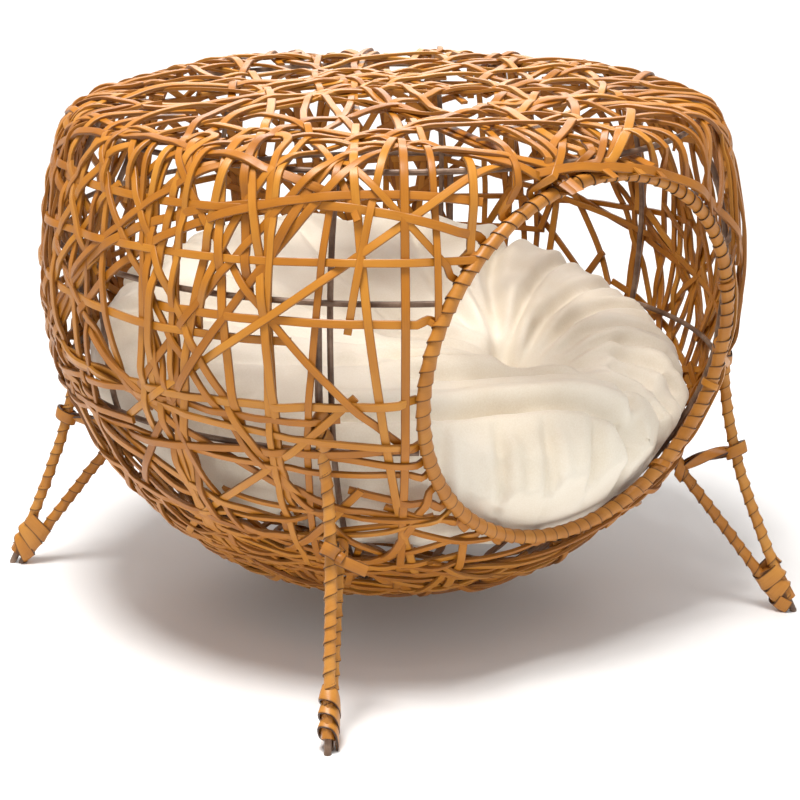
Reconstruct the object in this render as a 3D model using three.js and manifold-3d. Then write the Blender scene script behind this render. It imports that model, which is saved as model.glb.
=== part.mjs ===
// Elevated wicker pet basket: a woven rattan bowl on a wire frame, with a closed woven roof, one round
// entry in its front, four splayed legs of two bound rods each, and a loose tilted cushion inside.
// Millimetres, +Z up, origin on the floor under the middle of the object, entry towards -Y.

import * as THREE from "three";
import { ConvexGeometry } from "three/addons/geometries/ConvexGeometry.js";
import Module from "manifold-3d";

const GAP = 0.3; // air between touching pieces
const FACETS = 48; // flats round every full ring and shell, so that neighbours' flats line up
const DEG = Math.PI / 180;
const AXIS_Y = -8; // the basket's axis, set so that the origin is under the middle of the whole object

// Wire frame
const RING_WIRE = 2.25; // radius of the four hoops of wire that carry the weave
const TOP_RING = { r: 212.7, z: 354.1 };
const MID_RING = { r: 240, z: 277.2 };
const LOWER_RING = { r: 233.2, z: 178.5 };
const BASE_RING = { r: 126, z: 46 };
const RIB_WIRE = 2; // radius
const RIB_LINE = [ // [r, z], just inside the rings from top to bottom
  [207, 354.3],
  [225, 322],
  [235.4, 277.2],
  [236.6, 248],
  [234.4, 215],
  [228.6, 178.5],
  [212, 140],
  [190, 105],
  [168, 81],
  [146, 63],
  [128, 51.5],
  [112, 48.6],
];
const RIB_ANGLES = { // from the front, towards +X
  front_right: 43.4,
  right: 88.4,
  back_right: 133.4,
  back: 178.4,
  back_left: 223.4,
  left: 268.4,
  front_left: 313.4,
};
const STUB_LINE = [
  [178, 92],
  [168, 81],
  [146, 63],
  [128, 51.5],
  [112, 48.6],
];

// Entry hoop: an upright oval, its top leaning out
const HOOP = { y: -205.4, z: 219.7, halfWide: 131.2, halfTall: 126, lean: 7.3 };
const HOOP_ROD = 2.5; // radius of the rod inside
const HOOP_WRAP = 4; // radius over the peel wound round it
const WRAP_BORE = 3.1;

// Woven shell: [z, outer radius, inner radius]
const WALL = [
  [44, 139, 130],
  [60, 157, 149],
  [80, 181, 174],
  [105, 204, 197.4],
  [140, 225.4, 219.2],
  [180, 242, 236.3],
  [218, 249, 243.4],
  [248, 250, 244.6],
  [280, 248.6, 243.2],
  [320, 240.6, 234.8],
  [350, 232, 225],
];
const ROOF_OUTSIDE = [ // [r, z]
  [231.5, 350.5],
  [227, 358.5],
  [216, 364],
  [150, 366.5],
  [0, 367.5],
];
const ROOF_INSIDE = [
  [0, 359],
  [150, 358.6],
  [216.5, 357],
  [219, 350.5],
];
const FLOOR_SECTION = [
  [0, 38],
  [123, 38],
  [136, 43.2],
  [0, 43.2],
];
const BAY_SEAM = 0.6; // between one bay of weave and the next
const BAYS = [ // between one rib and the next, from the front towards +X
  "front_right",
  "right_front",
  "right_back",
  "back_right",
  "back_left",
  "left_back",
  "left_front",
  "front_left",
];

// Legs: lines beside each diagonal, [r, z, step aside towards the rib]. The legs are bent by hand, and
// below the splay height each foot drifts a little out and aside of the common line.
const LEGS = {
  front_right: { angle: 45, out: 2, aside: -22 },
  back_right: { angle: 135, out: 0, aside: 0 },
  back_left: { angle: 225, out: 0, aside: 5 },
  front_left: { angle: 315, out: 5, aside: 0 },
};
const SPLAY_HEIGHT = 162;
const LEG_ROD = 2.5;
const LEG_WRAP = 3.5;
const OUTER_ROD_LINE = [
  [294.2, 0, 0],
  [284, 21, -1],
  [268, 60, -2.8],
  [254.7, 95, -4.4],
  [248.2, 118, -5.6],
  [243.2, 141, -7],
  [239.8, 162, -9.4],
  [238.7, 179, -11.6],
  [239.2, 200, -13.2],
  [240, 230, -13.6],
  [239.4, 262, -13.6],
];
const OUTER_WRAP_LINE = [
  [280.6, 28.5, -1.3],
  [268, 60, -2.8],
  [254.7, 95, -4.4],
  [248.2, 118, -5.6],
  [243.2, 141, -7],
  [241.1, 153, -8.4],
];
const INNER_ROD_LINE = [
  [287.2, 0, 0],
  [273, 21, -1.2],
  [247, 55, -3.2],
  [217, 93, -5.6],
  [204, 109.5, -6.6],
];
const INNER_WRAP_LINE = [
  [267.3, 28.5, -1.6],
  [247, 55, -3.2],
  [217, 93, -5.6],
  [213.6, 97.3, -5.9],
];
const FOOT_LOW = { r: 290.7, z: 0, aside: 0, halfDeep: 8.5, halfWide: 4.9 };
const FOOT_HIGH = { r: 275.3, z: 26, aside: -1.2, halfDeep: 12.2, halfWide: 5 };
const BRACE_OUTER = [[251, 108, -5.1], [246.6, 124, -6]]; // its loop round each rod, [r, z, aside]
const BRACE_INNER = [[222.3, 86.4, -5.2], [216.2, 94, -5.7]];
const BRACE_LOOP = 5.2; // radius over the loops of strip
const BRACE_BAR = 2.6; // radius of the twisted strip between them
const BELLY_LINE = [[238.7, 183, -12], [238.9, 191, -12.7], [239.2, 199, -13.1]];
const BELLY_BINDING = 4.9;

// Lashings of strip round the entry hoop
const TOP_LASHING = { halfWide: 9, thick: 1.5 };
const BOTTOM_LASHING = { halfWide: 8, thick: 1.5 };

// Cushion: a round pillow leaning on the back of the bowl
const CUSHION = { y: -2, z: 164, lean: 12.5, radius: 219 };
const PILLOW = [ // [r, z] about its own middle
  [0, 16],
  [14, 22],
  [45, 37],
  [95, 45],
  [150, 46],
  [190, 39],
  [212, 22],
  [219, 2],
  [213, -18],
  [190, -35],
  [120, -43],
  [0, -43],
];
const PILLOW_HALF = 44;
const NEST = [ // the room inside the ribs that the pillow is pressed into, [r, z]
  [0, 54],
  [116, 54],
  [140, 65.5],
  [162, 83],
  [184, 107],
  [206, 142],
  [222.8, 180],
  [229.6, 215],
  [231.6, 248],
  [230, 277],
  [220, 320],
  [0, 320],
];
const COVER = 2.4; // cloth and piping thickness taken off the filling
const THREAD = 1.5;

const COLOURS = {
  rattan: 0xc9853b,
  peel: 0xb9772f,
  wire: 0xa08878,
  velvet: 0xe9e0d0,
  filling: 0xf4f4f0,
};

const wasm = await Module();
wasm.setup();
const part = new THREE.Group();
part.name = "wicker_pet_basket";
part.position.y = AXIS_Y;

// The mesh's geometry as a solid for joining and cutting, and back again.
function toSolid(geometry) {
  const flat = geometry.index ? geometry.toNonIndexed() : geometry;
  const source = flat.getAttribute("position");
  const index = new Map();
  const points = [];
  const corners = [];
  for (let i = 0; i < source.count; i += 1) {
    const p = [source.getX(i), source.getY(i), source.getZ(i)];
    const key = p.map((v) => Math.round(v * 1000)).join();
    if (!index.has(key)) {
      index.set(key, points.length / 3);
      points.push(...p);
    }
    corners.push(index.get(key));
  }
  const kept = [];
  for (let i = 0; i < corners.length; i += 3) {
    const [a, b, c] = corners.slice(i, i + 3);
    if (a !== b && b !== c && a !== c) kept.push(a, b, c);
  }
  const mesh = new wasm.Mesh({
    numProp: 3,
    vertProperties: new Float32Array(points),
    triVerts: new Uint32Array(kept),
  });
  return new wasm.Manifold(mesh);
}

function toGeometry(solid) {
  const mesh = solid.getMesh();
  const geometry = new THREE.BufferGeometry();
  geometry.setAttribute("position", new THREE.BufferAttribute(mesh.vertProperties, 3));
  geometry.setIndex(new THREE.BufferAttribute(mesh.triVerts, 1));
  return geometry;
}

function add(name, geometry, colour, roughness = 0.6) {
  const material = new THREE.MeshStandardMaterial({ color: colour, roughness });
  material.name = name;
  const mesh = new THREE.Mesh(geometry, material);
  mesh.name = name;
  part.add(mesh);
}

// A point at radius r, height z and an angle from the front, stepped aside along the wall.
function polar(r, z, angle, aside = 0) {
  const s = Math.sin(angle * DEG);
  const c = Math.cos(angle * DEG);
  return new THREE.Vector3(r * s + aside * c, -r * c + aside * s, z);
}

function ngon(radius, sides) {
  const points = [];
  for (let i = 0; i < sides; i += 1) {
    const t = (2 * Math.PI * i) / sides;
    points.push(new THREE.Vector2(radius * Math.cos(t), radius * Math.sin(t)));
  }
  return points;
}

// A round bar, or with a bore a tube open at both ends, along a smooth line through the points.
function bar(points, radius, sides, steps, bore = 0) {
  const shape = new THREE.Shape(ngon(radius, sides));
  if (bore > 0) shape.holes.push(new THREE.Path(ngon(bore, sides)));
  const path = new THREE.CatmullRomCurve3(points);
  return new THREE.ExtrudeGeometry(shape, { steps, bevelEnabled: false, extrudePath: path });
}

function revolve(section, facets = FACETS) {
  const points = section.map(([r, z]) => new THREE.Vector2(r, z));
  const onAxis = section[0][0] === 0 && section[section.length - 1][0] === 0;
  if (!onAxis) points.push(points[0].clone());
  return new THREE.LatheGeometry(points, facets, 0, 2 * Math.PI).rotateX(Math.PI / 2);
}

// A hoop of wire round the basket's axis.
function ringWire({ r, z }, radius = RING_WIRE) {
  return new THREE.TorusGeometry(r, radius, 6, FACETS).translate(0, 0, z);
}

// The entry hoop's oval, as a torus of any thickness, and as a point on its centre line.
function hoopPlace(geometry) {
  return geometry.rotateX(Math.PI / 2 + HOOP.lean * DEG).translate(0, HOOP.y, HOOP.z);
}

function hoopTorus(radius, sides = 8, facets = FACETS) {
  const torus = new THREE.TorusGeometry(HOOP.halfTall, radius, sides, facets);
  return hoopPlace(torus.scale(HOOP.halfWide / HOOP.halfTall, 1, 1));
}

function hoopPoint(angle) {
  const v = HOOP.halfTall * Math.cos(angle * DEG);
  const x = HOOP.halfWide * Math.sin(angle * DEG);
  const lean = HOOP.lean * DEG;
  return new THREE.Vector3(x, HOOP.y - v * Math.sin(lean), HOOP.z + v * Math.cos(lean));
}

// Everything inside the entry hoop's oval, from well outside the wall to just behind it.
function entryPlug() {
  const plug = new THREE.CylinderGeometry(1, 1, 120, FACETS);
  plug.rotateX(Math.PI / 2);
  plug.scale(HOOP.halfWide, HOOP.halfTall, 1);
  plug.rotateX(Math.PI / 2 + HOOP.lean * DEG);
  return toSolid(plug.translate(0, HOOP.y, HOOP.z));
}

function wedge(from, to) {
  const reach = 400;
  const mid = (from + to) / 2;
  const corners = [polar(0, 0, 0), polar(reach, 0, from), polar(reach, 0, mid), polar(reach, 0, to)];
  const shape = new THREE.Shape(corners.map((p) => new THREE.Vector2(p.x, p.y)));
  return toSolid(new THREE.ExtrudeGeometry(shape, { depth: reach, bevelEnabled: false }));
}

// A point of a leg, drifting towards that leg's own foot.
function legPoint(r, z, leg, aside) {
  const drift = Math.max(0, 1 - z / SPLAY_HEIGHT);
  return polar(r + leg.out * drift, z, leg.angle, aside + leg.aside * drift);
}

function legBar(line, leg, radius, sides, steps, bore = 0) {
  const points = line.map(([r, z, aside]) => legPoint(r, z, leg, aside));
  return bar(points, radius, sides, steps, bore);
}

// ---- wire frame ----

function frameRings() {
  add("top_ring", ringWire(TOP_RING), COLOURS.wire, 0.45);
  add("base_ring", ringWire(BASE_RING), COLOURS.wire, 0.45);
  const cut = toSolid(hoopTorus(HOOP_WRAP + GAP)).add(entryPlug());
  add("mid_ring", toGeometry(toSolid(ringWire(MID_RING)).subtract(cut)), COLOURS.wire, 0.45);
  add("lower_ring", toGeometry(toSolid(ringWire(LOWER_RING)).subtract(cut)), COLOURS.wire, 0.45);
}

function frameRibs() {
  for (const [side, angle] of Object.entries(RIB_ANGLES)) {
    const points = RIB_LINE.map(([r, z]) => polar(r, z, angle));
    add(`rib_${side}`, bar(points, RIB_WIRE, 6, 18), COLOURS.wire, 0.45);
  }
  const stub = STUB_LINE.map(([r, z]) => polar(r, z, 0));
  add("rib_front_stub", bar(stub, RIB_WIRE, 6, 8), COLOURS.wire, 0.45);
}

function entryHoop() {
  add("entry_hoop_rod", hoopTorus(HOOP_ROD, 6), COLOURS.wire, 0.45);
  const points = [];
  for (let i = 0; i <= FACETS; i += 1) points.push(hoopPoint(181.5 + (357 * i) / FACETS));
  add("entry_hoop_wrap", bar(points, HOOP_WRAP, 8, FACETS, WRAP_BORE), COLOURS.peel, 0.5);
}

// ---- woven shell ----

function legRoom(leg) {
  const outer = toSolid(legBar(OUTER_ROD_LINE, leg, BELLY_BINDING + 0.8, 8, 16));
  const inner = toSolid(legBar(INNER_ROD_LINE, leg, LEG_WRAP + 1.2, 8, 8));
  return outer.add(inner);
}

function weaveBays() {
  const outside = WALL.map(([z, outer]) => [outer, z]);
  const inside = WALL.map(([z, , inner]) => [inner, z]).reverse();
  let open = toSolid(revolve([...outside, ...inside])).subtract(entryPlug());
  open = open.subtract(toSolid(hoopTorus(HOOP_WRAP + 2 * GAP)));
  open = open.subtract(hoopLashingRoom());
  for (const leg of Object.values(LEGS)) open = open.subtract(legRoom(leg));
  const seam = BAY_SEAM / 2 / 245 / DEG;
  BAYS.forEach((name, i) => {
    const bay = open.intersect(wedge(45 * i + seam, 45 * i + 45 - seam));
    add(`weave_bay_${name}`, toGeometry(bay), COLOURS.rattan);
  });
}

function roofAndFloor() {
  const roof = toSolid(revolve([...ROOF_INSIDE, ...ROOF_OUTSIDE])).subtract(hoopLashingRoom());
  add("weave_roof", toGeometry(roof), COLOURS.rattan);
  add("weave_floor", revolve(FLOOR_SECTION), COLOURS.rattan);
}

// ---- lashings round the entry hoop ----

// A round-ended block lying along X that swallows both lines of wire, [y, z, radius] each.
function sleeve(ends, halfWide, margin) {
  const points = [];
  for (const [y, z, radius] of ends) {
    for (const p of ngon(radius + margin, 12)) {
      points.push(new THREE.Vector3(-halfWide, y + p.x, z + p.y));
      points.push(new THREE.Vector3(halfWide, y + p.x, z + p.y));
    }
  }
  return toSolid(new ConvexGeometry(points));
}

function topLashingEnds() {
  const top = hoopPoint(0);
  return [
    [top.y + 0.2, top.z - 0.2, HOOP_WRAP],
    [-TOP_RING.r + 0.1, TOP_RING.z, RING_WIRE],
  ];
}

function bottomLashingEnds() {
  const low = hoopPoint(180);
  return [
    [low.y + 0.2, low.z + 0.2, HOOP_WRAP],
    [-173.2, 86.6, RIB_WIRE],
  ];
}

function hoopLashingRoom() {
  const top = sleeve(topLashingEnds(), TOP_LASHING.halfWide + 0.4, TOP_LASHING.thick + 1.2);
  const low = sleeve(bottomLashingEnds(), BOTTOM_LASHING.halfWide + 0.4, BOTTOM_LASHING.thick + 1.2);
  return top.add(low);
}

function hoopLashings() {
  const hoopRoom = toSolid(hoopTorus(HOOP_WRAP + 2 * GAP));
  const ringRoom = toSolid(ringWire(TOP_RING, RING_WIRE + GAP));
  const top = sleeve(topLashingEnds(), TOP_LASHING.halfWide, TOP_LASHING.thick + 0.7);
  add("hoop_top_lashing", toGeometry(top.subtract(hoopRoom).subtract(ringRoom)), COLOURS.peel);
  const stub = STUB_LINE.map(([r, z]) => polar(r, z, 0));
  const stubRoom = toSolid(bar(stub, RIB_WIRE + 2 * GAP, 8, 8));
  const low = sleeve(bottomLashingEnds(), BOTTOM_LASHING.halfWide, BOTTOM_LASHING.thick + 0.7);
  add("hoop_bottom_lashing", toGeometry(low.subtract(hoopRoom).subtract(stubRoom)), COLOURS.peel);
}

// ---- legs ----

function footSleeve(leg) {
  const points = [];
  for (const { r, z, aside, halfDeep, halfWide } of [FOOT_LOW, FOOT_HIGH]) {
    for (const p of ngon(1, 12)) {
      points.push(legPoint(r + halfDeep * p.x, z, leg, aside + halfWide * p.y));
    }
  }
  return toSolid(new ConvexGeometry(points));
}

function addLeg(name, leg) {
  const belowFloor = toSolid(new THREE.BoxGeometry(800, 800, 40).translate(0, 0, -20));
  const outerRod = toSolid(legBar([[296, -4, 0], ...OUTER_ROD_LINE], leg, LEG_ROD, 6, 12));
  const innerRod = toSolid(legBar([[289.8, -4, 0], ...INNER_ROD_LINE], leg, LEG_ROD, 6, 6));
  add(`leg_${name}_outer_rod`, toGeometry(outerRod.subtract(belowFloor)), COLOURS.wire, 0.45);
  add(`leg_${name}_inner_rod`, toGeometry(innerRod.subtract(belowFloor)), COLOURS.wire, 0.45);
  const outerWrap = legBar(OUTER_WRAP_LINE, leg, LEG_WRAP, 8, 8, WRAP_BORE);
  const innerWrap = legBar(INNER_WRAP_LINE, leg, LEG_WRAP, 8, 6, WRAP_BORE);
  add(`leg_${name}_outer_wrap`, outerWrap, COLOURS.peel, 0.5);
  add(`leg_${name}_inner_wrap`, innerWrap, COLOURS.peel, 0.5);
  const outerRoom = toSolid(legBar([[296, -4, 0], ...OUTER_ROD_LINE], leg, LEG_ROD + 0.6, 6, 12));
  const innerRoom = toSolid(legBar([[289.8, -4, 0], ...INNER_ROD_LINE], leg, LEG_ROD + 0.6, 6, 6));
  const foot = footSleeve(leg).subtract(outerRoom).subtract(innerRoom);
  add(`leg_${name}_foot_binding`, toGeometry(foot), COLOURS.peel);
  const wraps = toSolid(legBar(OUTER_WRAP_LINE, leg, LEG_WRAP + 0.6, 8, 8));
  const innerWraps = toSolid(legBar(INNER_WRAP_LINE, leg, LEG_WRAP + 0.6, 8, 6));
  const loops = [BRACE_OUTER, BRACE_INNER].map((line) => toSolid(legBar(line, leg, BRACE_LOOP, 8, 1)));
  const middle = [BRACE_INNER, BRACE_OUTER].map(([a, b]) => a.map((v, i) => (v + b[i]) / 2));
  const tie = toSolid(legBar(middle, leg, BRACE_BAR, 8, 1)).add(loops[0]).add(loops[1]);
  add(`leg_${name}_brace`, toGeometry(tie.subtract(wraps).subtract(innerWraps)), COLOURS.rattan);
  const belly = toSolid(legBar(BELLY_LINE, leg, BELLY_BINDING, 8, 2)).subtract(outerRoom);
  add(`leg_${name}_belly_binding`, toGeometry(belly), COLOURS.peel);
}

// ---- cushion ----

function cushionPlace(geometry) {
  return geometry.rotateX(CUSHION.lean * DEG).translate(0, CUSHION.y, CUSHION.z);
}

// The pillow as pressed into the bowl, taken in by an even depth all over.
function pillow(inset) {
  const section = PILLOW.map(([r, z]) => [
    r * (1 - inset / CUSHION.radius),
    z * (1 - inset / PILLOW_HALF) - (z > 0 && r < 60 ? (inset * (60 - r)) / 200 : 0),
  ]);
  const nest = NEST.map(([r, z]) => [Math.max(0, r - inset), z + (z < 100 ? inset : 0)]);
  const round = toSolid(cushionPlace(revolve(section.reverse(), 24)));
  return round.intersect(toSolid(revolve(nest, 24)));
}

function cushion() {
  const half = 300; // reach of the blocks that part the cover at its seam
  const above = new THREE.BoxGeometry(2 * half, 2 * half, half).translate(0, 0, half / 2 + GAP / 2);
  const below = new THREE.BoxGeometry(2 * half, 2 * half, half).translate(0, 0, -half / 2 - GAP / 2);
  const hole = toSolid(cushionPlace(new THREE.CylinderGeometry(1.9, 1.9, 120, 8).rotateX(Math.PI / 2)));
  const cloth = pillow(0).subtract(pillow(COVER)).subtract(hole);
  add("cushion_cover_top", toGeometry(cloth.intersect(toSolid(cushionPlace(above)))), COLOURS.velvet, 0.9);
  add("cushion_cover_bottom", toGeometry(cloth.intersect(toSolid(cushionPlace(below)))), COLOURS.velvet, 0.9);
  add("cushion_filling", toGeometry(pillow(COVER + GAP).subtract(hole)), COLOURS.filling, 0.9);
  const thread = new THREE.CylinderGeometry(THREAD, THREAD, 56, 8).rotateX(Math.PI / 2);
  add("cushion_tuft_thread", cushionPlace(thread.translate(0, 0, -13.5)), COLOURS.velvet, 0.9);
}

frameRings();
frameRibs();
entryHoop();
hoopLashings();
weaveBays();
roofAndFloor();
for (const [name, leg] of Object.entries(LEGS)) addLeg(name, leg);
cushion();

export default part;
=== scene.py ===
"""Looks for the raised wicker pet basket: random weave of flat rattan strips on a wire frame, peel-bound
entry hoop and legs, and a tufted velvet cushion. Lengths here are metres unless a name says otherwise."""

import math
import random

import bpy
import numpy as np
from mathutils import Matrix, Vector, noise
from mathutils.kdtree import KDTree


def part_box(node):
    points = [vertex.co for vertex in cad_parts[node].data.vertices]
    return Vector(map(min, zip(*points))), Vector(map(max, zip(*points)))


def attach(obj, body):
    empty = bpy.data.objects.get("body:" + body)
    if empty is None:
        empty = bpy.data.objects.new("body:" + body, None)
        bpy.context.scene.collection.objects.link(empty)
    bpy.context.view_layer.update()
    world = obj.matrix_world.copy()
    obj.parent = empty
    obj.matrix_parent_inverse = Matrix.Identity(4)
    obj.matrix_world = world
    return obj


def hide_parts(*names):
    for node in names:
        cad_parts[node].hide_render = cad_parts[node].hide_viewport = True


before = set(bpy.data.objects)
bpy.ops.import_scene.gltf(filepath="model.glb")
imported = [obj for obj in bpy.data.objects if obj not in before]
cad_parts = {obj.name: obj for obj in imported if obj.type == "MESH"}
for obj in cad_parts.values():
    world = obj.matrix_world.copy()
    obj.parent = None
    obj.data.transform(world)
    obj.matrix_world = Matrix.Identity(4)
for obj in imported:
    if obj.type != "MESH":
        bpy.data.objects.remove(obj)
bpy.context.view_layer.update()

MM = 0.001
UP = np.array([0.0, 0.0, 1.0])
GOLDEN_TURN = 2.39996  # radians between one place and the next when they fill a disc evenly
LEGS = {"front_right": 45, "back_right": 135, "back_left": 225, "front_left": 315}
rng = random.Random(41)


# ---- places read from the frame ----


def corners(node):
    low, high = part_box(node)
    return np.array(low), np.array(high)


def mesh_points(mesh):
    flat = np.empty(len(mesh.vertices) * 3)
    mesh.vertices.foreach_get("co", flat)
    return flat.reshape(-1, 3)


def vertices(node):
    return mesh_points(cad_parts[node].data)


base_low, base_high = corners("base_ring")
AXIS = np.array([(base_low[0] + base_high[0]) / 2, (base_low[1] + base_high[1]) / 2, 0.0])


def ring_of(node):
    """Radius, height and wire radius of one of the frame's rings."""
    low, high = corners(node)
    wire = (high[2] - low[2]) / 2 / math.cos(math.pi / 6)  # its section has six sides
    return high[0] - AXIS[0] - wire, (low[2] + high[2]) / 2, wire


def polar(r, z, angle, aside=0.0):
    """A point at radius r and height z, at an angle in degrees from the front towards +X."""
    s, c = math.sin(math.radians(angle)), math.cos(math.radians(angle))
    return AXIS + np.array([r * s + aside * c, -r * c + aside * s, z])


hoop_low, hoop_high = corners("entry_hoop_wrap")
HOOP_ROD = 4 * MM
hoop_span = hoop_high - hoop_low - 2 * HOOP_ROD  # of its centre line
HOOP_WIDE = (hoop_high[0] - hoop_low[0]) / 2 - HOOP_ROD
HOOP_LEAN = math.atan2(hoop_span[1], hoop_span[2])
HOOP_TALL = hoop_span[2] / 2 / math.cos(HOOP_LEAN)
HOOP_MID = (hoop_low + hoop_high) / 2
HOOP_UP = np.array([0.0, -math.sin(HOOP_LEAN), math.cos(HOOP_LEAN)])


def hoop_point(turn):
    """A point on the entry hoop's centre line, turn in radians from its top towards +X."""
    return HOOP_MID + np.array([HOOP_WIDE * math.sin(turn), 0, 0]) + HOOP_UP * HOOP_TALL * math.cos(turn)


def slice_centre(verts, edges, z):
    """Middle of a rod where it crosses height z."""
    a, b = verts[edges[:, 0]], verts[edges[:, 1]]
    span = b[:, 2] - a[:, 2]
    hit = (a[:, 2] - z) * (b[:, 2] - z) < 0
    t = (z - a[hit, 2]) / span[hit]
    return (a[hit] + (b[hit] - a[hit]) * t[:, None]).mean(axis=0)


def rod_line(node, count):
    """Points up the centre line of a rod that climbs all the way."""
    verts = vertices(node)
    edges = np.array([e.vertices[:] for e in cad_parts[node].data.edges])
    bottom = verts[:, 2].min() + 0.6 * MM
    top = verts[:, 2].max() - 0.6 * MM
    return np.array([slice_centre(verts, edges, z) for z in np.linspace(bottom, top, count)])


def shell_profile():
    """The woven shell's outside from the roof's middle to the floor's middle, as (radius, height)."""
    places = [(0.0, corners("weave_roof")[1][2]), (0.0, corners("weave_floor")[0][2])]
    for node in ("weave_roof", "weave_bay_right_front", "weave_floor"):
        verts = vertices(node) - AXIS
        places += zip(np.hypot(verts[:, 0], verts[:, 1]), verts[:, 2])
    low = min(p[1] for p in places) + 1e-5  # on the flat floor the line runs inwards
    places = sorted(set(places), key=lambda p: (-p[1], p[0] if p[1] > low else -p[0]))
    hull = []
    for p in places:
        while len(hull) > 1 and turns_in(hull[-2], hull[-1], p):
            hull.pop()
        hull.append(p)
    return hull


def turns_in(a, b, c):
    """Whether b lies inside the line from a to c, seen going down the right-hand side of a round section."""
    return (b[0] - a[0]) * (c[1] - a[1]) - (b[1] - a[1]) * (c[0] - a[0]) >= -1e-12


# ---- mesh helpers ----


def smooth_line(points, step):
    """Catmull-Rom through the points, sampled about every step."""
    p = np.asarray(points, float)
    p = np.vstack([2 * p[0] - p[1], p, 2 * p[-1] - p[-2]])
    out = []
    for i in range(1, len(p) - 2):
        count = max(1, round(np.linalg.norm(p[i + 1] - p[i]) / step))
        t = (np.arange(count) / count)[:, None]
        a, b, c, d = p[i - 1], p[i], p[i + 1], p[i + 2]
        square, cube = 2 * a - 5 * b + 4 * c - d, 3 * b - a - 3 * c + d
        out.append(0.5 * (2 * b + (c - a) * t + square * t**2 + cube * t**3))
    out.append(p[-2][None])
    return np.vstack(out)


def blur(values, rounds):
    v = np.array(values, float)
    for _ in range(rounds):
        v[1:-1] = 0.25 * v[:-2] + 0.5 * v[1:-1] + 0.25 * v[2:]
    return v


def arc_length(line):
    """The distance along a line at each of its points."""
    return np.concatenate([[0], np.cumsum(np.linalg.norm(np.diff(line, axis=0), axis=1))])


def resample(at, arc, values):
    """The rows of values, given at the distances arc, at the distances at."""
    return np.stack([np.interp(at, arc, values[:, k]) for k in range(3)], axis=1)


def unit(v):
    return v / np.maximum(np.linalg.norm(v, axis=-1, keepdims=True), 1e-12)


STRIP_SECTION = (
    (-0.5, -0.38),
    (-0.5, 0.3),
    (-0.42, 0.44),
    (0, 0.5),
    (0.42, 0.44),
    (0.5, 0.3),
    (0.5, -0.38),
    (0.42, -0.5),
    (-0.42, -0.5),
)
ROUND_SECTION = tuple(
    (0.5 * math.sin(a), 0.5 * math.cos(a)) for a in np.linspace(0, 2 * math.pi, 11)[:-1]
)
UNDERSIDE_SHIFT = 0.02  # keeps the grain of a strip's back apart from the grain of its face
STRIP_SHIFT = 0.37  # and of one strip from the next
SHARP_ANGLE = math.radians(32)  # an edge bent more than this is drawn as an edge


def link_object(name, data):
    obj = bpy.data.objects.new(name, data)
    bpy.context.scene.collection.objects.link(obj)
    return obj


class Builder:
    """Collects swept strips and rods into one mesh, with three attributes at each vertex: grain, the place
    along and across the strip; tint, one value a strip; edge, 0 in the strip's middle and 1 at its edges."""

    def __init__(self):
        self.verts, self.faces, self.grain, self.tint, self.edge = [], [], [], [], []
        self.count = 0

    def sweep(self, line, normals, width, thick, section=STRIP_SECTION, tint=None, closed=False):
        line, normals = np.asarray(line, float), np.asarray(normals, float)
        if closed:
            tangent = unit(np.roll(line, -1, axis=0) - np.roll(line, 1, axis=0))
        else:
            tangent = unit(np.gradient(line, axis=0))
        across = unit(np.cross(tangent, normals))
        normal = np.cross(across, tangent)
        n, k = len(line), len(section)
        sec = np.array(section)
        wide = np.broadcast_to(np.asarray(width, float), (n,))[:, None, None]
        high = np.broadcast_to(np.asarray(thick, float), (n,))[:, None, None]
        ring = line[:, None] + across[:, None] * sec[None, :, :1] * wide
        ring = ring + normal[:, None] * sec[None, :, 1:] * high
        base = self.count
        grain = np.empty((n, k, 3))
        grain[:, :, 0] = arc_length(line)[:, None]
        grain[:, :, 1] = sec[None, :, 0] * wide[:, :, 0] + (sec[None, :, 1] < 0) * UNDERSIDE_SHIFT
        grain[:, :, 2] = len(self.verts) * STRIP_SHIFT
        self.verts.append(ring.reshape(-1, 3))
        self.grain.append(grain.reshape(-1, 3))
        value = rng.random() if tint is None else tint
        self.tint.append(np.full(n * k, value))
        self.edge.append(np.tile(np.abs(sec[:, 0]) * 2, n))
        i = np.arange(n if closed else n - 1)[:, None]
        j = np.arange(k)[None, :]
        i2, j2 = (i + 1) % n, (j + 1) % k
        quads = np.stack([i * k + j, i2 * k + j, i2 * k + j2, i * k + j2], axis=-1) + base
        self.faces += quads.reshape(-1, 4).tolist()
        if not closed:
            self.faces.append([base + x for x in range(k)])
            self.faces.append([base + (n - 1) * k + x for x in reversed(range(k))])
        self.count += n * k

    def cut_below(self, z):
        """Trims the last sweep to a level end at height z."""
        self.verts[-1][:, 2] = np.maximum(self.verts[-1][:, 2], z)

    def build(self, name, material, body, slot, replaced):
        """Makes the piece, in place of the CAD nodes listed in replaced."""
        mesh = bpy.data.meshes.new(name)
        mesh.from_pydata(np.vstack(self.verts).tolist(), [], self.faces)
        grain = mesh.attributes.new("grain", "FLOAT_VECTOR", "POINT")
        grain.data.foreach_set("vector", np.vstack(self.grain).ravel())
        for label, values in (("tint", self.tint), ("edge", self.edge)):
            attribute = mesh.attributes.new(label, "FLOAT", "POINT")
            attribute.data.foreach_set("value", np.concatenate(values))
        mesh.polygons.foreach_set("use_smooth", [True] * len(mesh.polygons))
        obj = link_object(name, mesh)
        mesh.set_sharp_from_angle(angle=SHARP_ANGLE)
        mesh.materials.append(material)
        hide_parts(*replaced)
        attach(obj, body)


# ---- materials ----


def shader(name, **sockets):
    material = bpy.data.materials.new(name)
    material.use_nodes = True
    nodes, links = material.node_tree.nodes, material.node_tree.links
    bsdf = nodes["Principled BSDF"]
    for key, value in sockets.items():
        bsdf.inputs[key.replace("_", " ")].default_value = value
    return material, nodes, links, bsdf


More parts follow.
